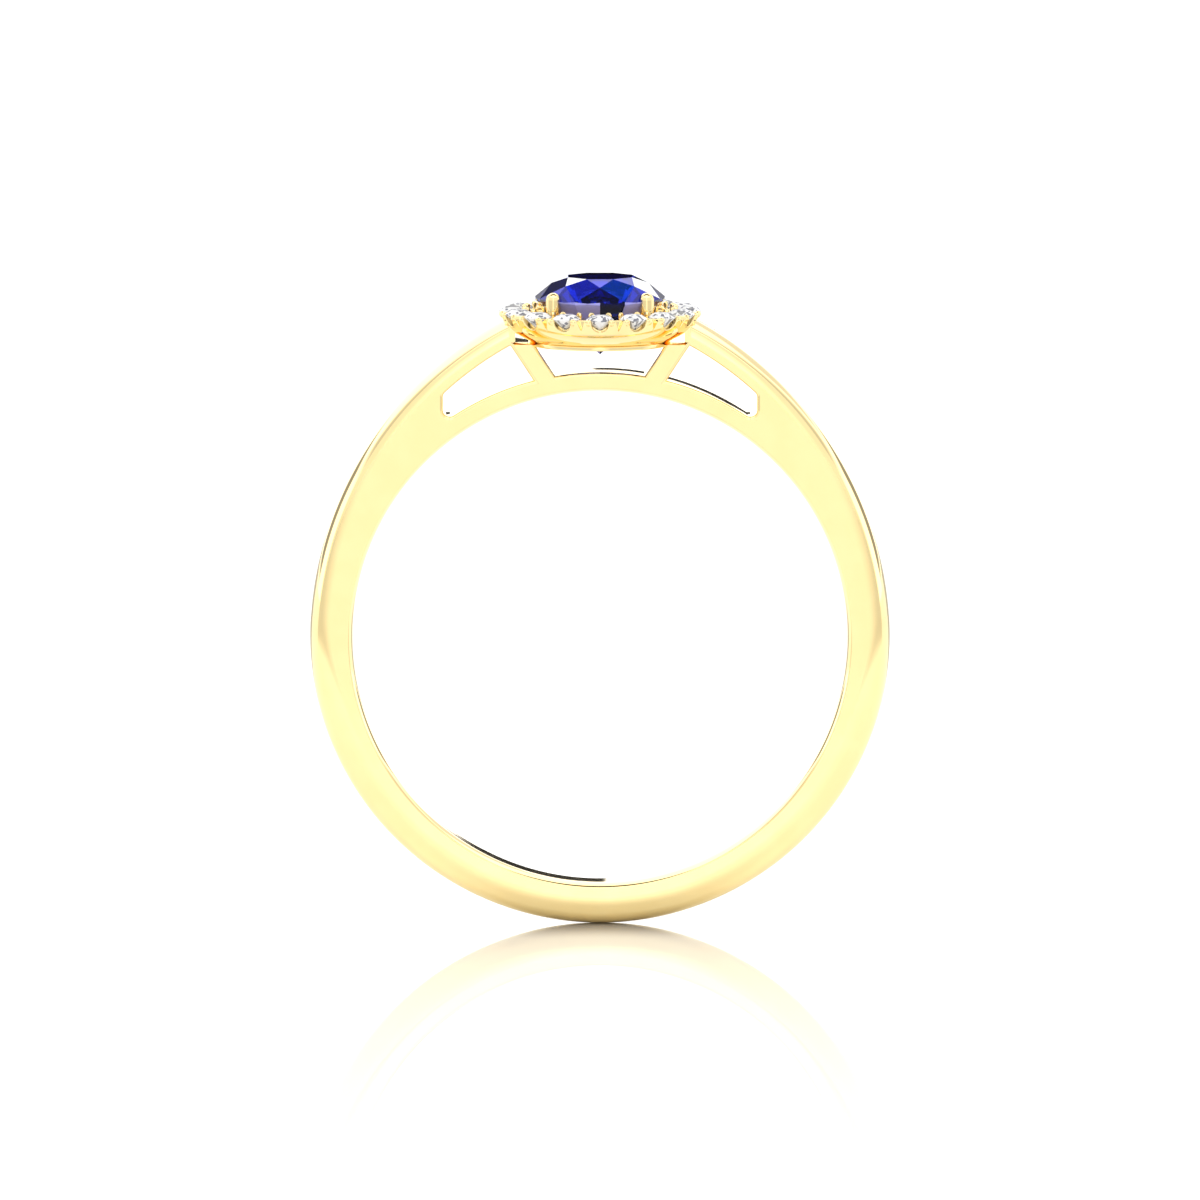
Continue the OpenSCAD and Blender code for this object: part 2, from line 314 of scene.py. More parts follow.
def plate(name, columns, sharp):
    """A closed piece from columns of (x, y, z) that run round its outline.

    sharp holds the numbers of the columns that lie on a hard edge.
    """
    work = bmesh.new()
    rows = len(columns[0])
    posts = [[work.verts.new(MM * np.array(p, float)) for p in column] for column in columns]
    for k, post in enumerate(posts):
        after = posts[(k + 1) % len(posts)]
        for j in range(rows - 1):
            work.faces.new([post[j], post[j + 1], after[j + 1], after[j]]).smooth = True
        if k in sharp:
            for j in range(rows - 1):
                work.edges.get((post[j], post[j + 1])).smooth = False
    for j in (0, rows - 1):
        side = work.faces.new([post[j] for post in posts])
        side.smooth = True
        for edge in side.edges:
            edge.smooth = False
    return closed_mesh(work, name)


# %% [markdown]
# ## Rims
# A rim is a short list of (inset, y): how far the metal lies inside the outline, at each place
# across the band. The hoop has four kinds. The shoulders have a low dome that meets the side in
# a ridge, the shank is half-round, and the finger side is a comfort fit that curves away at
# both edges. Every other wall is almost flat: polishing leaves it a very low crown and breaks
# its corners.


# %% Draw the four rims
def softened(before, corner, after, radius, steps=5):
    """Points on the arc that rounds a corner between two straight runs."""
    into = np.array(before, float) - corner
    out = np.array(after, float) - corner
    into /= np.linalg.norm(into)
    out /= np.linalg.norm(out)
    half = math.acos(np.clip(into @ out, -1, 1)) / 2
    middle = np.array(corner) + (into + out) / np.linalg.norm(into + out) * radius / math.sin(half)
    start = np.array(corner) + into * radius / math.tan(half)
    end = np.array(corner) + out * radius / math.tan(half)
    points = []
    for t in np.linspace(0, 1, steps + 1):
        chord = start + (end - start) * t - middle
        points.append(tuple(middle + chord / np.linalg.norm(chord) * radius))
    return points


def both_sides(half):
    """A half rim from the middle of the band to its side, mirrored to a whole one."""
    return [(d, y) for d, y in half[::-1]] + [(d, -y) for d, y in half[1:]]


# the shoulder's dome, the ridge at its edge and the roll of the side face beside it
ridge_r = 0.06
dome_rise = 0.3
dome_r = (half_band**2 + dome_rise**2) / (2 * dome_rise)
roll_drop = 0.028
roll_width = 0.42
ridge_y = half_band - roll_drop
ridge_d = dome_r - math.sqrt(dome_r**2 - ridge_y**2)


def dome_half():
    """The shoulder's dome, its ridge and the slight roll of the side face beside it."""
    dome = [(dome_r - math.sqrt(dome_r**2 - y * y), y) for y in np.linspace(0, ridge_y, 15)]
    roll = [(ridge_d + roll_width * t, half_band - roll_drop * (1 - t) ** 2)
            for t in np.linspace(0, 1, 9)]
    ridge = softened(dome[-2], dome[-1], roll[1], ridge_r)
    return dome[:-1] + ridge + roll[2:]


def round_half(count):
    """The shank's half-round section, in the same number of points."""
    turns = np.linspace(0, math.pi / 2, count)
    return [(half_band * (1 - math.cos(a)), half_band * math.sin(a)) for a in turns]


# the inner wall's straight stretch, measured from the middle, and the edges' radii
crest = 0.5
comfort_rise = 0.14
comfort_r = ((half_band - crest) ** 2 + comfort_rise**2) / (2 * comfort_rise)
edge_r = 0.045
broken_r = 0.1
wall_crown = 0.04


def comfort_half():
    """The finger side: a straight crest, then an arc that lifts off the finger."""
    straight = [(0.0, y) for y in (0, crest / 2)]
    arc = [(comfort_r - math.sqrt(comfort_r**2 - (y - crest) ** 2), y)
           for y in np.linspace(crest, half_band, 9)]
    lip = softened(arc[-2], arc[-1], (arc[-1][0] + 1, half_band), edge_r)
    return straight + arc[:-1] + lip


def flat_half():
    """A wall with a very low crown and a broken corner."""
    corner = (wall_crown, half_band)
    wall_end = half_band - 1.6 * broken_r
    wall = [(wall_crown * (y / half_band) ** 2, y) for y in np.linspace(0, wall_end, 7)]
    return wall + softened(wall[-1], corner, (1.0, half_band), broken_r, steps=7)


dome_rim = both_sides(dome_half())
round_rim = both_sides(round_half(len(dome_half())))
comfort_rim = both_sides(comfort_half())
flat_rim = both_sides(flat_half())
print("points across each rim:", len(dome_rim), len(comfort_rim), len(flat_rim))


# %% [markdown]
# ## Shank
# The shank is one section carried round the finger, so a sweep is enough. Just below each joint
# the shoulder's ridge is still there, and a file blends it into the half-round. The section is
# therefore a mix of the two rims, and the share of each changes along the way.


# %% Sweep the shank
def eased(t):
    """0 up to 0 and 1 from 1 on, with soft ends."""
    t = min(max(t, 0), 1)
    return t * t * (3 - 2 * t)


def mixed(first, second, share):
    """A rim between two others, point by point."""
    return [tuple((1 - share) * np.array(a) + share * np.array(b)) for a, b in zip(first, second)]


blend_angle = math.radians(26)
shank_steps = 300


def shank_section(angle):
    """Points round the section at an angle below the left joint, in the ring's own frame."""
    below = min(angle, math.pi + 2 * joint_angle - angle)
    outer = mixed(dome_rim, round_rim, eased(below / blend_angle))
    inner = comfort_rim[::-1]
    turn = math.pi - joint_angle + angle
    radii = [(shank_r - d, y) for d, y in outer] + [(finger_r + d, y) for d, y in inner]
    return [(r * math.cos(turn), y, r * math.sin(turn)) for r, y in radii]


def sweep(name, sections, sharp_rows):
    """A solid bar through closed sections, with a flat face at each end."""
    work = bmesh.new()
    rings = [[work.verts.new(MM * np.array(p, float)) for p in section] for section in sections]
    count = len(rings[0])
    for ring, after in zip(rings, rings[1:]):
        for j in range(count):
            i = (j + 1) % count
            work.faces.new([ring[j], ring[i], after[i], after[j]]).smooth = True
            if j in sharp_rows:
                work.edges.get((ring[j], after[j])).smooth = False
    for end in (rings[0], rings[-1]):
        for edge in work.faces.new(end).edges:
            edge.smooth = False
    return closed_mesh(work, name)


sweep_angle = math.pi + 2 * joint_angle
shank_sections = [shank_section(sweep_angle * k / shank_steps) for k in range(shank_steps + 1)]
outer_count = len(dome_rim)
side_rows = {0, outer_count - 1, outer_count, len(shank_sections[0]) - 1}
finish_piece(sweep("shank", shank_sections, side_rows), "shank_body", gold, "gold", "shank")

# %% [markdown]
# ## Shoulders
# A shoulder starts at the joint, follows the finger up to the bridge, opens into a window and
# ends against the head. Its outline is made of arcs, so the columns come from one arc helper.
# Where two arcs meet at a solder seam, the inset points slide along the seam.


# %% Walk along arcs and seams
def arc_points(centre, radius, start, end, steps, toward_centre):
    """Points on an arc in the ring's face, each with the direction that leads into the metal."""
    walk = []
    for a in np.linspace(start, end, steps + 1):
        out = np.array([math.cos(a), math.sin(a)])
        walk.append((np.array(centre) + radius * out, -out if toward_centre else out))
    return walk


def column(point, inward, rim):
    """One point of the outline, followed over its rim."""
    return [(point[0] + inward[0] * d, y, point[1] + inward[1] * d) for d, y in rim]


def seam_column(point, inward, along, rim):
    """A column at a seam: its points stay in the seam while they reach their insets."""
    slide = np.array(along, float) / np.dot(along, inward)
    return [(point[0] + slide[0] * d, y, point[1] + slide[1] * d) for d, y in rim]


def mitre_column(point, first, second, rim):
    """A column at the corner of two walls, whose points keep their insets from both."""
    both = np.linalg.solve(np.array([first, second], float), np.ones(2))
    return [(point[0] + both[0] * d, y, point[1] + both[1] * d) for d, y in rim]


def columns_of(walk, rim):
    """A column for each point of a walk."""
    return [column(p, n, rim) for p, n in walk]


def mirrored(columns):
    """The same columns on the ring's other side, in the order that keeps them running round."""
    return [[(-x, y, z) for x, y, z in post] for post in columns[::-1]]


# %% Lay out a shoulder
window_low = np.array([corner_x, math.sqrt((bridge_r + corner_r) ** 2 - corner_x**2)])
window_high_z = math.sqrt((window_r - corner_r) ** 2 - (corner_x - shoulder_centre[0]) ** 2)
window_high = np.array([corner_x, window_high_z + shoulder_centre[1]])
low_turn = math.atan2(window_low[1], window_low[0])
high_turn = math.atan2(window_high[1] - shoulder_centre[1], corner_x - shoulder_centre[0])
strut_top_z = math.sqrt(window_r**2 - (strut_top_x - shoulder_centre[0]) ** 2) + shoulder_centre[1]
strut_top = np.array([strut_top_x, strut_top_z])
arm_end_x = strut_top_x - arm_end_bevel
strut_foot_z = math.sqrt(bridge_r**2 - strut_foot_x**2)
strut_lean = (strut_top_x - strut_foot_x) / (strut_top_z - strut_foot_z)
strut_inward = np.array([-1.0, strut_lean]) / math.hypot(strut_lean, 1)
strut_ceiling_inward = (strut_top - shoulder_centre) / window_r

seam_out = np.array([math.cos(bridge_angle), math.sin(bridge_angle)])
to_corner = window_low - bridge_r * seam_out
along_seam = to_corner @ seam_out
reach_in = along_seam - math.sqrt(corner_r**2 - to_corner @ to_corner + along_seam**2)
seam_top = (bridge_r + reach_in) * seam_out
seam_top_turn = math.atan2(*(seam_top - window_low)[::-1])
print("seam between shoulder and bridge, mm:", round(bridge_r + reach_in - finger_r, 3))


# %% Lay out the domed outside and the arm's end
# the arm's end reaches this far inside the halo's wall, and is sunk this far into the bowl
arm_reach = 0.25
arm_sunk = 0.16
arm_reach_r = halo_r - arm_reach
bowl_h = 0.55
wall_foot_z = halo_low[2] + bowl_h
bowl_slope = (wall_foot_z - collar_high[2]) / (halo_r - collar_high[0])
print("the arms reach in to, mm:", round(arm_reach_r, 3), "and the bowl rises", round(bowl_slope, 3))


def outer_columns(steps=110):
    """The domed outside from the joint to the bowl, row by row, because the bowl is round."""
    joint = np.array([math.cos(joint_angle), math.sin(joint_angle)])
    across = joint @ shoulder_centre
    rows = []
    for d, y in dome_rim:
        r = shoulder_r - d
        far = across + math.sqrt(across**2 - shoulder_centre @ shoulder_centre + r * r)
        foot = far * joint - shoulder_centre
        wall_x = math.sqrt(arm_reach_r**2 - y * y) - shoulder_centre[0]
        ends = math.atan2(foot[1], foot[0]), math.acos(wall_x / r)
        rows.append([(r * math.cos(a) + shoulder_centre[0], y, r * math.sin(a) + shoulder_centre[1])
                     for a in np.linspace(*ends, steps + 1)])
    return [list(post) for post in zip(*rows)]


def under_bowl_z(r):
    """Height at which the arm's end is sunk into the bowl, at a radius from the head's middle."""
    return collar_high[2] + (r - collar_high[0]) * bowl_slope + arm_sunk


def under_bowl(r, rim):
    """A round column of the arm's end, at one radius."""
    z = under_bowl_z(r)
    return [(math.sqrt(r * r - y * y), y, z) for _, y in rim]


def level_row(x, z, rim):
    """A straight column across the band."""
    return [(x, y, z) for _, y in rim]


def shoulder_columns():
    """The shoulder's inside and outside, and the three arcs that its window is made of."""
    inner = arc_points((0, 0), finger_r, bridge_angle, joint_angle, 90, toward_centre=False)
    low_end = arc_points(window_low, corner_r, seam_top_turn, 0, 14, toward_centre=False)
    high_end = arc_points(window_high, corner_r, 0, high_turn, 10, toward_centre=False)
    strut_turn = math.atan2(strut_top[1] - shoulder_centre[1], strut_top[0] - shoulder_centre[0])
    ceiling = arc_points(shoulder_centre, window_r, high_turn, strut_turn, 50, toward_centre=False)
    posts = columns_of(inner, comfort_rim)
    sharp = [0, len(posts) - 1]
    posts += outer_columns()
    sharp += [len(inner), len(posts) - 1]
    return posts, sharp, low_end, high_end, ceiling


# %% [markdown]
# The rims have different numbers of points, but neighbouring columns are joined point by point.
# So a helper halves a rim's longest steps until it has as many points as the others, which
# leaves its shape as it was.


# %% Give all rims one count
rim_count = max(len(dome_rim), len(comfort_rim), len(flat_rim))


def lengths_along(points):
    """How long a line of points is, up to each of them."""
    return np.concatenate([[0], np.cumsum(np.linalg.norm(np.diff(points, axis=0), axis=1))])


def spread(rim, count):
    """The same rim in more points, alike on both sides."""
    points = np.array(rim)
    middle = (len(points) - 1) // 2
    for _ in range((count - len(points)) // 2):
        k = int(np.argmax(np.diff(lengths_along(points))[:middle]))
        points = np.insert(points, k + 1, (points[k] + points[k + 1]) / 2, axis=0)
        mirror_k = len(points) - 1 - k
        points = np.insert(points, mirror_k, (points[mirror_k] + points[mirror_k - 1]) / 2, axis=0)
        middle += 1
    return [tuple(p) for p in points]


comfort_rim = spread(comfort_rim, rim_count)
flat_rim = spread(flat_rim, rim_count)
print("every rim now has", len(comfort_rim), len(flat_rim), len(dome_rim), "points")


# %% Build both shoulders
# the arm's last round column stands this far before its flat end
last_round = 0.12


def build_shoulder():
    """The right shoulder's columns, and the numbers of those on a hard edge."""
    posts, sharp, low_end, high_end, ceiling = shoulder_columns()
    # the arm's end: into the bowl, then down to the strut's top
    first = len(posts)
    for r in np.linspace(arm_reach_r, arm_end_x + last_round, 4):
        posts.append(under_bowl(r, dome_rim))
    posts.append(level_row(arm_end_x, under_bowl_z(arm_end_x), dome_rim))
    posts.append(level_row(arm_end_x, strut_top[1] + arm_end_bevel, flat_rim))
    sharp += list(range(first, len(posts)))
    ceiling = ceiling[::-1]
    posts.append(mitre_column(strut_top, ceiling[0][1], strut_inward, flat_rim))
    sharp.append(len(posts) - 1)
    posts += columns_of(ceiling[1:], flat_rim)
    posts += columns_of(high_end[::-1][1:], flat_rim)
    posts += columns_of(low_end[::-1][:-1], flat_rim)
    posts.append(seam_column(low_end[0][0], low_end[0][1], -seam_out, flat_rim))
    sharp.append(len(posts) - 1)
    return posts, sharp


def finish_pair(part, kind, posts, sharp):
    """A piece on the right of the ring and its mirror image on the left."""
    mirror_sharp = [len(posts) - 1 - k for k in sharp]
    for side, columns, edges in (("right", posts, sharp), ("left", mirrored(posts), mirror_sharp)):
        node = f"{side}_{part}"
        finish_piece(plate(node, columns, edges), f"{node}_{kind}", gold, "gold", node)


finish_pair("shoulder", "body", *build_shoulder())

# %% [markdown]
# ## Bridge and struts
# The bridge closes the finger hole under the head, and two leaning struts carry the head from
# it. All are flat bars with broken edges. The small fillets where the bridge runs into the
# window ends are part of the bridge here, since that is how a file leaves them.


# %% Build the bridge
def build_bridge():
    """The bridge's columns, from the left end along the finger to the right one and back."""
    inner = arc_points((0, 0), finger_r, math.pi - bridge_angle, bridge_angle, 90, toward_centre=False)
    fillet = arc_points(window_low, corner_r, seam_top_turn, low_turn - math.pi, 8, toward_centre=False)
    top = arc_points((0, 0), bridge_r, low_turn, math.pi - low_turn, 90, toward_centre=True)
    right_end = [seam_column(fillet[0][0], fillet[0][1], -seam_out, flat_rim)]
    right_end += columns_of(fillet[1:-1], flat_rim)
    posts = columns_of(inner, comfort_rim) + right_end + columns_of(top, flat_rim) + mirrored(right_end)
    sharp = [0, len(inner) - 1, len(inner), len(posts) - 1]
    return posts, sharp


bridge_mesh = plate("finger_bridge", *build_bridge())
finish_piece(bridge_mesh, "bridge_bar", gold, "gold", "finger_bridge")


# %% Build the struts
# how far a strut is sunk into the bridge, and how far its top laps the basket ring
strut_sunk = 0.16
strut_lap = 0.04
# how much wider than the bridge it is, as a part, so that its faces show
strut_proud = 0.002
strut_steps = 8


def build_strut():
    """The right strut's columns: sunk into the bridge, a little proud of it, up to the head."""
    inner_foot_x = strut_foot_x - strut_w
    inner_foot_z = math.sqrt(bridge_r**2 - inner_foot_x**2)
    outer_foot = np.array([strut_foot_x - strut_lean * strut_sunk, strut_foot_z - strut_sunk])
    inner_run = strut_lean * (strut_foot_z - inner_foot_z + strut_sunk)
    inner_foot = np.array([inner_foot_x - inner_run, inner_foot_z - strut_sunk])
    inner_top_z = collar_low[2] + strut_lap
    inner_top = np.array([inner_foot_x + strut_lean * (inner_top_z - strut_foot_z), inner_top_z])
    outer_top = np.array([arm_end_x, strut_top[1] + arm_end_bevel])
    foot_line = inner_foot - outer_foot
    top_line = inner_top - outer_top
    along = np.linspace(0, 1, strut_steps + 1)[1:-1]
    posts = [seam_column(outer_foot, strut_inward, foot_line, flat_rim)]
    posts += [column(outer_foot + (strut_top - outer_foot) * t, strut_inward, flat_rim) for t in along]
    posts.append(mitre_column(strut_top, strut_ceiling_inward, strut_inward, flat_rim))
    posts.append(column(outer_top, (0.0, -1.0), flat_rim))
    posts.append(seam_column(inner_top, -strut_inward, -top_line, flat_rim))
    posts += [column(inner_top + (inner_foot - inner_top) * t, -strut_inward, flat_rim) for t in along]
    posts.append(seam_column(inner_foot, -strut_inward, -foot_line, flat_rim))
    posts = [[(x, y * (1 + strut_proud), z) for x, y, z in post] for post in posts]
    return posts, [0, strut_steps, strut_steps + 1, strut_steps + 2, len(posts) - 1]


finish_pair("strut", "bar", *build_strut())


# %% [markdown]
# ## Basket ring
# This thin washer carries the claws and rests on the struts. It is turned on a lathe, so its
# section is simply carried round the middle of the head.


# %% Turn the basket ring
def turned(name, section, steps=180):
    """A closed section of (radius, height) carried once round the middle of the head."""
    work = bmesh.new()
    rings = []
    for k in range(steps):
        a = 2 * math.pi * k / steps
        rings.append([work.verts.new((MM * r * math.cos(a), MM * r * math.sin(a), MM * z))
                      for r, z in section])
    count = len(section)
    for k, ring in enumerate(rings):
        after = rings[(k + 1) % steps]
        for j in range(count):
            i = (j + 1) % count
            work.faces.new([ring[j], ring[i], after[i], after[j]]).smooth = True
    return closed_mesh(work, name)


def rounded_box(low, high, radius):
    """The section of a flat ring with rounded corners."""
    corners = [(low[0], low[1]), (high[0], low[1]), (high[0], high[1]), (low[0], high[1])]
    points = []
    for k, corner in enumerate(corners):
        points += softened(corners[k - 1], corner, corners[(k + 1) % 4], radius, steps=6)
    return points


collar_bore = 2.0
collar = rounded_box((collar_bore, collar_low[2]), (collar_high[0], collar_high[2]), edge_r)
finish_piece(turned("basket_ring", collar), "basket_collar", gold, "gold", "basket_ring")

# %% [markdown]
# ## Halo frame and claws
# The halo is a shallow bowl whose rim a setter has cut into seats, scallops and split cuts,
# with beads raised between them. Edges and beads that flow into each other are hard to model
# face by face. Instead the metal is described as a distance: negative inside, positive outside,
# with soft joins and soft cuts. A net of quads is then laid where the distance is zero.


# %% Soft joins and cuts of distances
def soft_max(a, b, k):
    """The larger of two distances, rounded over a width k where they meet."""
    near = np.maximum(k - np.abs(a - b), 0) / k
    return np.maximum(a, b) + near * near * k / 4


def soft_min(a, b, k):
    """The smaller of two distances, rounded in the same way."""
    return -soft_max(-a, -b, k)


def beyond(x, z, start, end):
    """Distance past the line from start to end, on its right-hand side."""
    along = np.array(end, float) - start
    along /= np.linalg.norm(along)
    return (x - start[0]) * along[1] - (z - start[1]) * along[0]


print("two equal distances over a width of 0.04 join at", soft_max(0.0, 0.0, 0.04))


# %% Name the halo frame's sizes
halo_count = sum(1 for name in frame["nodes"] if name.startswith("halo_diamond_"))
halo_step = 2 * math.pi / halo_count
pitch_r = 3.06
wall_h = 0.45
top_z = wall_foot_z + wall_h
seat_r = 0.48
seat_depth = 0.413
seat_drop = 0.009
seat_z = top_z - seat_drop
bore_r = 2.4
foot_bore_r = 2.15
bowl_outline = [
    (foot_bore_r, collar_high[2]),
    (collar_high[0], collar_high[2]),
    (halo_r, wall_foot_z),
    (halo_r, top_z),
    (bore_r, top_z),
]
# which corner is rounded over a wide stretch, and how wide; the others are only broken
wall_foot = 2
foot_round = 0.75
corner_round = 0.04
# beads: distance from the head's middle, distance beside the stone, rise above the rim, radius
outer_bead = (pitch_r + 0.36, 0.40, -0.06, 0.11)
inner_bead = (pitch_r - 0.42, 0.30, 0.1, 0.115)
bead_soft = 0.05
# an inner bead stands on a post, which is a part of the bead's width and reaches this far down
post_part = 0.8
post_foot = 0.3
seat_soft = 0.02
scallop_r = 0.29
scallop_depth = 0.4
scallop_in = 0.12
scallop_soft = 0.05
# split cuts: depth, widths outside and inside, and how near the stones' circle they come
cut_depth = 0.36
outer_cut_w = 0.26
outer_cut_gap = 0.16
inner_cut_w = 0.16
inner_cut_gap = 0.22
cut_soft = 0.035
print("halo stones:", halo_count, "and the rim's top, mm:", round(top_z, 3))


# %% Describe the halo frame
def halo_distance(x, y, z):
    """Distance from the frame's surface. The halo repeats, so one stone's share describes it all."""
    r = np.hypot(x, y)
    turn = np.mod(np.arctan2(y, x) + halo_step / 2, halo_step) - halo_step / 2
    out, side = r * np.cos(turn), np.abs(r * np.sin(turn))
    between = halo_step / 2 - np.abs(turn)
    cut_out, cut_side = r * np.cos(between), np.abs(r * np.sin(between))
    metal = np.full_like(r, -9.0)
    for k, corner in enumerate(bowl_outline):
        wall = beyond(r, z, corner, bowl_outline[(k + 1) % len(bowl_outline)])
        metal = soft_max(metal, wall, foot_round if k == wall_foot else corner_round)
    for bead_out, bead_side, rise, size in (outer_bead, inner_bead):
        bead = np.sqrt((out - bead_out) ** 2 + (side - bead_side) ** 2 + (z - top_z - rise) ** 2) - size
        if rise > 0:
            post = np.hypot(out - bead_out, side - bead_side) - post_part * size
            post = np.maximum(np.maximum(post, z - top_z - rise), top_z - post_foot - z)
            bead = np.minimum(bead, post)
        metal = soft_min(metal, bead, bead_soft)
    from_seat = np.hypot(out - pitch_r, side)
    cone = (from_seat * seat_depth - seat_r * (z - seat_z + seat_depth)) / math.hypot(seat_r, seat_depth)
    metal = soft_max(metal, -np.maximum(from_seat - seat_r, cone), seat_soft)
    scallop_z = top_z - scallop_depth + scallop_r
    scallop = np.where(z < scallop_z, np.hypot(side, z - scallop_z), side) - scallop_r
    scallop = np.maximum(scallop, pitch_r + scallop_in - out)
    metal = soft_max(metal, -scallop, scallop_soft)
    outer_end = pitch_r + outer_cut_gap - cut_out
    inner_end = cut_out - pitch_r + inner_cut_gap
    for width, end in ((outer_cut_w, outer_end), (inner_cut_w, inner_end)):
        steep = math.hypot(width / 2, cut_depth)
        wedge = (cut_side * cut_depth - (z - top_z + cut_depth) * width / 2) / steep
        metal = soft_max(metal, -np.maximum(wedge, end), cut_soft)
    return metal


# %% Lay a net of quads on a distance
def gradient(distance, points, eps=0.002):
    """How a distance grows in each direction, at each point."""
    slopes = []
    for axis in np.eye(3) * eps:
        ahead, behind = points + axis, points - axis
        slopes.append((distance(*ahead.T) - distance(*behind.T)) / (2 * eps))
    return np.stack(slopes, axis=1)


def net(name, distance, low, high, step):
    """One vertex in every cell that the surface crosses, then a quad round every crossed edge."""
    # measure the distance on a grid that reaches a little past the piece
    axes = [np.arange(a - 2 * step, b + 3 * step, step) for a, b in zip(low, high)]
    grid = np.stack(np.meshgrid(*axes, indexing="ij"), axis=-1)
    value = distance(grid[..., 0], grid[..., 1], grid[..., 2])
    inside = value < 0
    shape = np.array(value.shape)
    # give each cell round a crossed edge the mean of the places where its edges are crossed
    total = np.zeros((*shape, 3))
    count = np.zeros(shape, int)
    edges = []
    for axis in range(3):
        here = [slice(None)] * 3
        there = [slice(None)] * 3
        here[axis], there[axis] = slice(None, -1), slice(1, None)
        crossed = np.argwhere(inside[tuple(here)] != inside[tuple(there)])
        a = value[tuple(crossed.T)]
        step_on = np.eye(3, dtype=int)[axis]
        b = value[tuple((crossed + step_on).T)]
        spot = grid[tuple(crossed.T)] + (a / (a - b))[:, None] * step_on * step
        side_a, side_b = np.eye(3, dtype=int)[(axis + 1) % 3], np.eye(3, dtype=int)[(axis + 2) % 3]
        around = [crossed, crossed - side_a, crossed - side_a - side_b, crossed - side_b]
        for cell in around:
            np.add.at(total, tuple(cell.T), spot)
            np.add.at(count, tuple(cell.T), 1)
        edges.append((around, a < 0))
    used = np.argwhere(count > 0)
    number = np.full(shape, -1)
    number[tuple(used.T)] = np.arange(len(used))
    points = total[tuple(used.T)] / count[tuple(used.T)][:, None]
    # draw the vertices onto the surface, then lay the quads and take the true normals
    for _ in range(3):
        slope = gradient(distance, points)
        miss = distance(*points.T) / np.maximum((slope * slope).sum(axis=1), 0.2)
        points -= np.clip(miss, -step, step)[:, None] * slope
    quads = []
    for around, outward in edges:
        corners = np.stack([number[tuple(cell.T)] for cell in around], axis=1)
        quads.append(np.where(outward[:, None], corners, corners[:, ::-1]))
    normals = gradient(distance, points)
    normals /= np.maximum(np.linalg.norm(normals, axis=1), 1e-9)[:, None]
    mesh = bpy.data.meshes.new(name)
    mesh.from_pydata((points * MM).tolist(), [], np.concatenate(quads).tolist())
    mesh.polygons.foreach_set("use_smooth", [True] * len(mesh.polygons))
    mesh.normals_split_custom_set_from_vertices(normals.tolist())
    return mesh


halo_cell = 0.032
halo_mesh = net("halo_frame", halo_distance, halo_low, halo_high, halo_cell)
finish_piece(halo_mesh, "halo_bowl", gold, "gold", "halo_frame")

# %% Measure the centre stone that the claws hold
# table, crown, girdle and pavilion, as parts of a stone's width
CENTRE_CUT = (0.532, 0.156, 0.022, 0.427)
SMALL_CUT = (0.56, 0.15, 0.03, 0.43)
table_part, crown_part, girdle_part, pavilion_part = CENTRE_CUT
stone_low, stone_high = span("centre_sapphire")
stone_d = stone_high[0] - stone_low[0]
crown_h, girdle_h, pavilion_h = crown_part * stone_d, girdle_part * stone_d, pavilion_part * stone_d
girdle_z = stone_high[2] - crown_h - girdle_h
print("centre stone, mm:", round(stone_d, 3), "across, its girdle at", round(girdle_z, 3))

# %% Describe a claw and lay its net
claw_r = 2.32
claw_d = 0.42
claw_soft = 0.02
tip_below_table = 0.68
claw_tip_z = stone_high[2] - tip_below_table
# the fuller prong round the stem: its height, its radius and how far it leans over the stone
prong_h = 0.42
prong_r = 0.255
prong_in = 0.02
prong_soft = 0.08
notch_soft = 0.03
claw_cell = 0.025


def claw_distance(turn):
    """Distance from a claw's surface: a stem, a fuller round prong on it and the stone's notch."""
    def distance(x, y, z):
        out = x * math.cos(turn) + y * math.sin(turn)
        side = -x * math.sin(turn) + y * math.cos(turn)
        stem = np.hypot(out - claw_r, side) - claw_d / 2
        stem = soft_max(soft_max(stem, z - claw_tip_z, claw_soft), collar_high[2] - z, claw_soft)
        along = np.clip(z, claw_tip_z - prong_h, claw_tip_z)
        prong = np.sqrt((out - claw_r + prong_in) ** 2 + side**2 + (z - along) ** 2) - prong_r
        metal = soft_min(stem, prong, prong_soft)
        r = np.hypot(x, y)
        stone_r = stone_d / 2
        below = r * pavilion_h - stone_r * (z - girdle_z + pavilion_h)
        under = below / math.hypot(pavilion_h, stone_r)
        run = stone_r * (1 - table_part)
        over = (crown_h * (r - stone_r) + run * (z - girdle_z - girdle_h)) / math.hypot(crown_h, run)
        stone = np.maximum(np.maximum(r - stone_r, under), over)
        return soft_max(metal, -stone, notch_soft)
    return distance


for k in range(1, 5):
    node_low, node_high = span(f"claw_{k}")
    middle = (node_low + node_high) / 2
    turn = math.atan2(middle[1], middle[0])
    claw_mesh = net(f"claw_{k}", claw_distance(turn), node_low, node_high, claw_cell)
    finish_piece(claw_mesh, f"claw_{k}_prong", gold, "gold", f"claw_{k}")

# %% [markdown]
# ## Cut stones
# A round brilliant has a table, eight star facets, eight kites and sixteen upper halves above
# the girdle, and sixteen lower halves and eight mains below it. Every facet is flat, and the
# girdle's edges wave because flat facets meet a round wall. The facets follow from a few
# proportions, so one function cuts both kinds of stone.


# %% Cut a brilliant
def ring_of(radius, turns, heights):
    """Points round the stone's axis."""
    return [(radius * math.cos(a), radius * math.sin(a), z) for a, z in zip(turns, heights)]


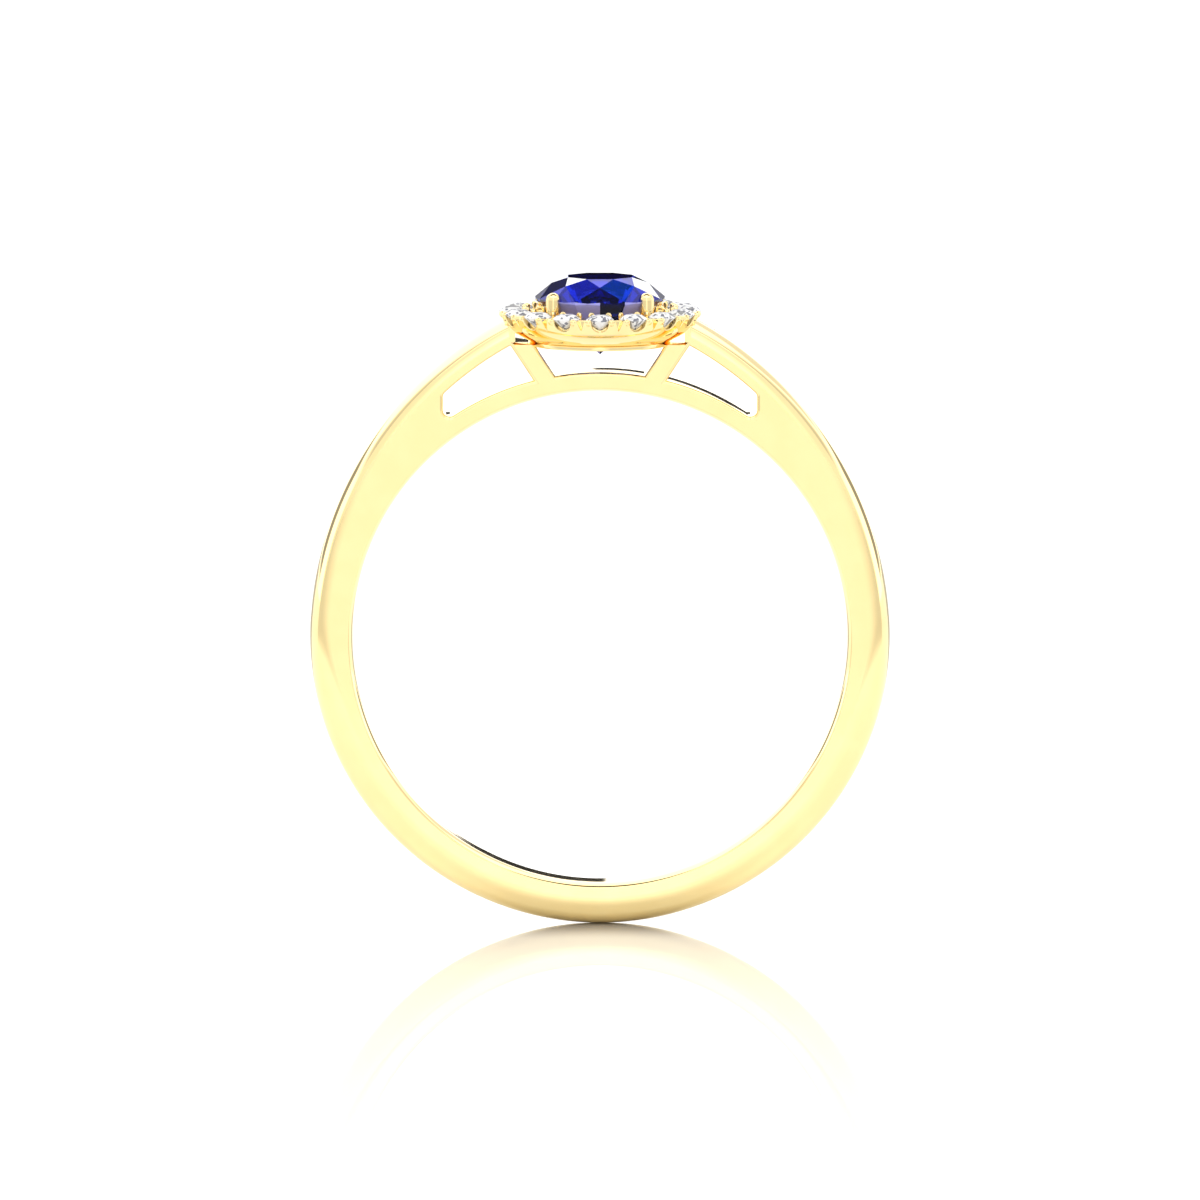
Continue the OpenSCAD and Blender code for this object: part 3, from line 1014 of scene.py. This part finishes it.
def brilliant(name, d, table, crown, girdle, pavilion, star=0.5, half=0.77):
    """A faceted stone about its own axis, with the girdle's underside at height 0."""
    eighth = math.pi / 4
    r, table_r, half_r = d / 2, d / 2 * table, d / 2 * (1 - half)
    near, fine = math.cos(eighth / 2), math.cos(eighth / 4)
    star_r = table_r * near + star * (r - table_r * near)
    crown_h, top, pavilion_h = d * crown, d * girdle, d * pavilion
    star_z = top + (r - star_r * near) * crown_h / (r - table_r)
    half_z = -(r - half_r * near) * pavilion_h / r
    upper_wave = r * (1 - fine) * (star_z - top) / ((r - star_r) * fine)
    lower_wave = r * (1 - fine) * -half_z / ((r - half_r) * fine)
    kite_turns = [eighth * (k + 0.5) for k in range(8)]
    star_turns = [eighth * (k + 1) for k in range(8)]
    girdle_turns = [eighth * (0.5 + j / 4) for j in range(32)]
    work = bmesh.new()

    def add(points):
        return [work.verts.new(np.array(p) * MM) for p in points]

    tables = add(ring_of(table_r, kite_turns, [top + crown_h] * 8))
    stars = add(ring_of(star_r, star_turns, [star_z] * 8))
    uppers = add(ring_of(r, girdle_turns, [top - (j % 2) * upper_wave for j in range(32)]))
    lowers = add(ring_of(r, girdle_turns, [(j % 2) * lower_wave for j in range(32)]))
    halves = add(ring_of(half_r, star_turns, [half_z] * 8))
    culet = work.verts.new((0, 0, -pavilion_h * MM))
    work.faces.new(tables)
    for k in range(8):
        after, j = (k + 1) % 8, 4 * k
        work.faces.new([tables[k], stars[k], tables[after]])
        work.faces.new([tables[k], stars[k - 1], uppers[j], stars[k]])
        work.faces.new([culet, halves[k - 1], lowers[j], halves[k]])
        for i in range(4):
            last = (j + i + 1) % 32
            work.faces.new([stars[k], uppers[j + i], uppers[last]])
            work.faces.new([halves[k], lowers[last], lowers[j + i]])
    for j in range(32):
        after = (j + 1) % 32
        work.faces.new([uppers[j], lowers[j], lowers[after], uppers[after]])
    return closed_mesh(work, name)


# %% [markdown]
# The painted reflection of each facet is written on the mesh, one value and one colour for each
# facet. White stones flash nearly everywhere, so their painted flashes are drawn at random, from
# a seed that gives the same stones each time. The blue stone is large enough for each facet to be
# read, so its painted flashes are chosen by the way a facet faces.


# %% Give the facets their painted flashes
draw = np.random.default_rng(7)


def paint_facet_flashes(mesh, choose):
    """Writes how strongly each facet shows its painted reflection, and its colour. choose takes a
    facet's normal.
    """
    picks = [choose(facet.normal) for facet in mesh.polygons]
    share = mesh.attributes.new("share", "FLOAT", "FACE")
    share.data.foreach_set("value", [part for part, _ in picks])
    glow = mesh.attributes.new("glow", "FLOAT_COLOR", "FACE")
    glow.data.foreach_set("color", [part for _, colour in picks for part in (*colour, 1.0)])


# colours of the painted facet reflections; INK and NAVY paint facets dark, QUIET paints nothing
WHITE = (1.0, 1.0, 1.0)
PALE = (0.34, 0.34, 0.82)
LAVENDER = (0.12, 0.12, 0.78)
MIST = (0.46, 0.45, 1.0)
AZURE = (0.0, 0.09, 0.72)
COBALT = (0.02, 0.035, 0.75)
ROYAL = (0.008, 0.012, 0.42)
NAVY = (0.003, 0.003, 0.035)
INK = (0.003, 0.002, 0.008)
QUIET = (0.0, NAVY)


def painted_white_flashes(normal):
    """White stones: most facets get a painted white flash, and some a painted grey one."""
    light = 1.0 if draw.random() > 0.14 else 0.4
    return 0.8, (light, light, light)


def painted_blue_flashes(normal):
    """Blue stone: a few facets get a painted flash as of a window, the rest stay unpainted and deep.
    Turn 0 faces the front.
    """
    turn = math.degrees(math.atan2(normal.x, -normal.y))
    tilt = math.degrees(math.acos(max(min(normal.z, 1), -1)))

    def facing(places):
        """The painted flash of the place that this facet faces, if it faces one of them."""
        return next((flash for place, flash in places.items() if abs(turn - place) < 6), QUIET)

    # the table, then the stars round it, then the kites
    if tilt < 5:
        return 0.9, INK
    if tilt < 28:
        return facing({-45: (0.92, WHITE), 0: (0.4, LAVENDER), 45: (0.45, PALE)})
    if tilt < 36:
        kites = {-67.5: (0.95, NAVY), -22.5: (0.3, COBALT), 22.5: (0.25, AZURE), 67.5: (0.92, WHITE)}
        return facing(kites)
    # the girdle and what is below it, on the front, then the upper halves
    if tilt > 70 and abs(turn) < 55:
        return 0.85, PALE if turn < -28 else MIST if turn < 0 or turn > 25 else NAVY
    if tilt < 60:
        return (0.7, NAVY) if abs(turn) > 60 else (0.45, ROYAL) if abs(turn) > 25 else QUIET
    return QUIET


def set_stone(mesh, turn, radius, height):
    """Turns a stone about the head's axis and sets it at its radius and height."""
    c, s = math.cos(turn), math.sin(turn)
    for v in mesh.vertices:
        x, y = v.co.x + radius * MM, v.co.y
        v.co = (x * c - y * s, x * s + y * c, v.co.z + height * MM)
    return mesh


# %% Set the blue stone and the sixteen white ones
centre = brilliant("centre_stone", stone_d, *CENTRE_CUT)
paint_facet_flashes(centre, painted_blue_flashes)
finish_piece(set_stone(centre, 0, 0, girdle_z), "centre_stone", sapphire, "sapphire", "centre_sapphire")

small_d = 0.96
small_girdle = SMALL_CUT[2] * small_d
girdle_stand = 0.02
for i in range(1, halo_count + 1):
    node = f"halo_diamond_{i:02d}"
    stone = brilliant(f"halo_stone_{i:02d}", small_d, *SMALL_CUT)
    paint_facet_flashes(stone, painted_white_flashes)
    turn = -math.pi / 2 + (i - 1) * halo_step
    set_stone(stone, turn, pitch_r, top_z + girdle_stand - small_girdle)
    finish_piece(stone, f"halo_stone_{i:02d}", diamond, "diamond", node)

# %% [markdown]
# ## Floor
# The ring stands on a glossy white sheet. Near the ring the sheet mirrors it clearly, and the
# mirror image fades with distance, so the gloss is strongest round the ring's foot. A painted
# contact shadow darkens the sheet where the ring touches it. A sheet in a studio also ends
# somewhere, and polished gold shows that as darker edges. Here that is painted shade on the
# sheet: darker aisles behind the ring and darker flanks beside it, which every ray but the
# camera's sees, while to the camera the sheet looks white apart from the painted contact shadow.


# %% Lay the floor
SHEET_WHITE = (0.92, 0.92, 0.92, 1)
# the black that the painted shade mixes into the sheet
PAINTED_SHADE_BLACK = (0, 0, 0, 1)


def make_floor():
    """A white sheet with a gloss that fades away from the ring, and painted shade on it."""
    material = bpy.data.materials.new("white_gloss_sheet")
    floor = Finish(material)
    place = floor.node("ShaderNodeTexCoord", out="Object")
    x, y = floor.node("ShaderNodeSeparateXYZ", {}, {0: place}, out=("X", "Y"))
    away = floor.node("ShaderNodeVectorMath", {"operation": "LENGTH"}, {0: place}, out="Value")
    turn = floor.size_of(floor.turn_of(x, y))
    # shares between 0 and 1, from lengths in metres and turns in degrees
    across, along = floor.size_of(y), floor.size_of(x)
    # painted contact shadow: the sheet is darker close round the ring's foot
    foot = (1 - floor.ease(across, 0.0003, 0.0048)) * (1 - floor.ease(along, 0.0015, 0.008))
    # painted shade: darker aisles behind the ring and darker flanks beside it
    painted_aisle_shade = floor.ease(turn, 15, 20) * (1 - floor.ease(turn, 31, 37)) * floor.ease(away, 0.04, 0.07)
    painted_flank_shade = floor.ease(turn, 90, 110) * (1 - floor.ease(turn, 162, 174)) * floor.ease(away, 0.05, 0.075)
    to_camera = floor.node("ShaderNodeLightPath", out="Is Camera Ray")
    # the camera sees only the painted contact shadow; every other ray also sees the painted aisles and
    # flanks
    painted_shade_for_metal = (1 - 0.28 * foot) * (1 - 0.62 * painted_aisle_shade) * (1 - 0.36 * painted_flank_shade)
    share = to_camera * (1 - 0.58 * foot) + (1 - to_camera) * painted_shade_for_metal
    fade = 1 - floor.ease(away, -0.012, 0.095) * 0.9
    edge = floor.node("ShaderNodeFresnel", {}, {"IOR": 1.5})
    matt = floor.node("ShaderNodeBsdfPrincipled", {}, {
        "Base Color": floor.blend(share, PAINTED_SHADE_BLACK, SHEET_WHITE),
        "Roughness": 1.0,
        "Specular IOR Level": 0.0,
    })
    mirror = floor.node("ShaderNodeBsdfGlossy", {}, {"Color": (1, 1, 1, 1), "Roughness": 0.0})
    floor.surface(floor.node("ShaderNodeMixShader", {}, {0: edge * fade * 1.2, 1: matt, 2: mirror}))
    return material


half_floor = 1.0
floor_corners = [(x * half_floor, y * half_floor, 0) for x, y in ((-1, -1), (1, -1), (1, 1), (-1, 1))]
floor_mesh = bpy.data.meshes.new("floor")
floor_mesh.from_pydata(floor_corners, [], [(0, 1, 2, 3)])
floor_mesh.materials.append(make_floor())
floor = bpy.data.objects.new("floor", floor_mesh)
floor.location = (0, 0, cad_low.z)
bpy.context.scene.collection.objects.link(floor)
print("the floor lies at, mm:", round(cad_low.z / MM, 3))

# %% [markdown]
# ## Light
# Jewellery is lit by a bright white room, so that polished metal has something even to mirror.
# A few darker panels far away give the metal its drawn edges and the stones their contrast.
# The panels are painted in the directions of the world. Only the gold and the stones see them:
# to the camera, and in the floor's clean mirror image, the room is plain white.

# %% Light the room
ROOM = 1.9


def light_room(world):
    """A white room with a few darker panels in it."""
    room = Finish(world)
    look = room.node("ShaderNodeTexCoord", out="Generated")
    x, y, z = room.node("ShaderNodeSeparateXYZ", {}, {0: look}, out=("X", "Y", "Z"))
    turn = room.turn_of(x, y)
    both = room.size_of(turn)
    rise = room.node("ShaderNodeMath", {"operation": "ARCSINE"}, {0: z}) * TO_DEGREES

    def panel(dark, around, turns, rises, soft_sides, soft_rims):
        """What a panel leaves of the light. It fills a box of directions in degrees."""
        left, right = turns
        low, high = rises
        share = room.ease(around, left, left + soft_sides)
        share *= 1 - room.ease(around, right - soft_sides, right)
        share *= room.ease(rise, low, low + soft_rims)
        share *= 1 - room.ease(rise, high - soft_rims, high)
        return 1 - dark * share

    # a panel placed by turn stands once, and one placed by both stands on each side of the ring
    card = panel(0.98, turn, (-0.5, 9), (2.5, 9.5), 0.35, 0.35)
    wings = panel(0.8, both, (27, 49), (-1, 17), 4, 3)
    wall = panel(0.5, turn, (9, 46), (17, 38), 4, 4)
    above = panel(0.95, both, (-1, 100), (56, 88), 1, 4)
    eaves = panel(0.6, both, (44, 88), (16, 72), 12, 8)
    beside = panel(0.42, both, (85, 179), (-5, 45), 9, 5)
    shade = card * wings * wall * above * eaves * beside
    shown, clean = room.node("ShaderNodeLightPath", out=("Is Camera Ray", "Is Singular Ray"))
    plain = room.node("ShaderNodeMath", {"operation": "MAXIMUM"}, {0: shown, 1: clean})
    strength = ROOM * (plain + (1 - plain) * shade)
    room.surface(room.node("ShaderNodeBackground", {}, {"Color": (1, 1, 1, 1), "Strength": strength}))


studio = bpy.data.worlds.new("studio")
bpy.context.scene.world = studio
light_room(studio)

# %% [markdown]
# ## Camera
# The ring is seen straight through the finger hole from slightly above, through a long lens.
# A long lens keeps the hoop round and both shoulders alike.

# %% Place the camera
lift = math.radians(6.6)
distance = 0.9
view_width = 0.042
aim = (0, 0, 0.00123)
camera_data = bpy.data.cameras.new("camera")
camera_data.sensor_width = 36
camera_data.lens = 36 * distance / view_width
camera_data.clip_start = 0.01
camera_data.clip_end = 10
camera = bpy.data.objects.new("camera", camera_data)
camera.location = (0, -distance * math.cos(lift), aim[2] + distance * math.sin(lift))
camera.rotation_euler = (math.pi / 2 - lift, 0, 0)
bpy.context.scene.collection.objects.link(camera)
bpy.context.scene.camera = camera
print("the lens, mm:", round(camera_data.lens, 1))

# %% Set how light is followed and shown
# stones need many bounces, because light crosses each of them several times
scene = bpy.context.scene
scene.view_settings.view_transform = "Standard"
scene.cycles.max_bounces = 24
scene.cycles.glossy_bounces = 12
scene.cycles.transmission_bounces = 20
scene.cycles.use_denoising = True
scene.cycles.seed = 1

# %% Bring the scene up to date
bpy.context.view_layer.update()
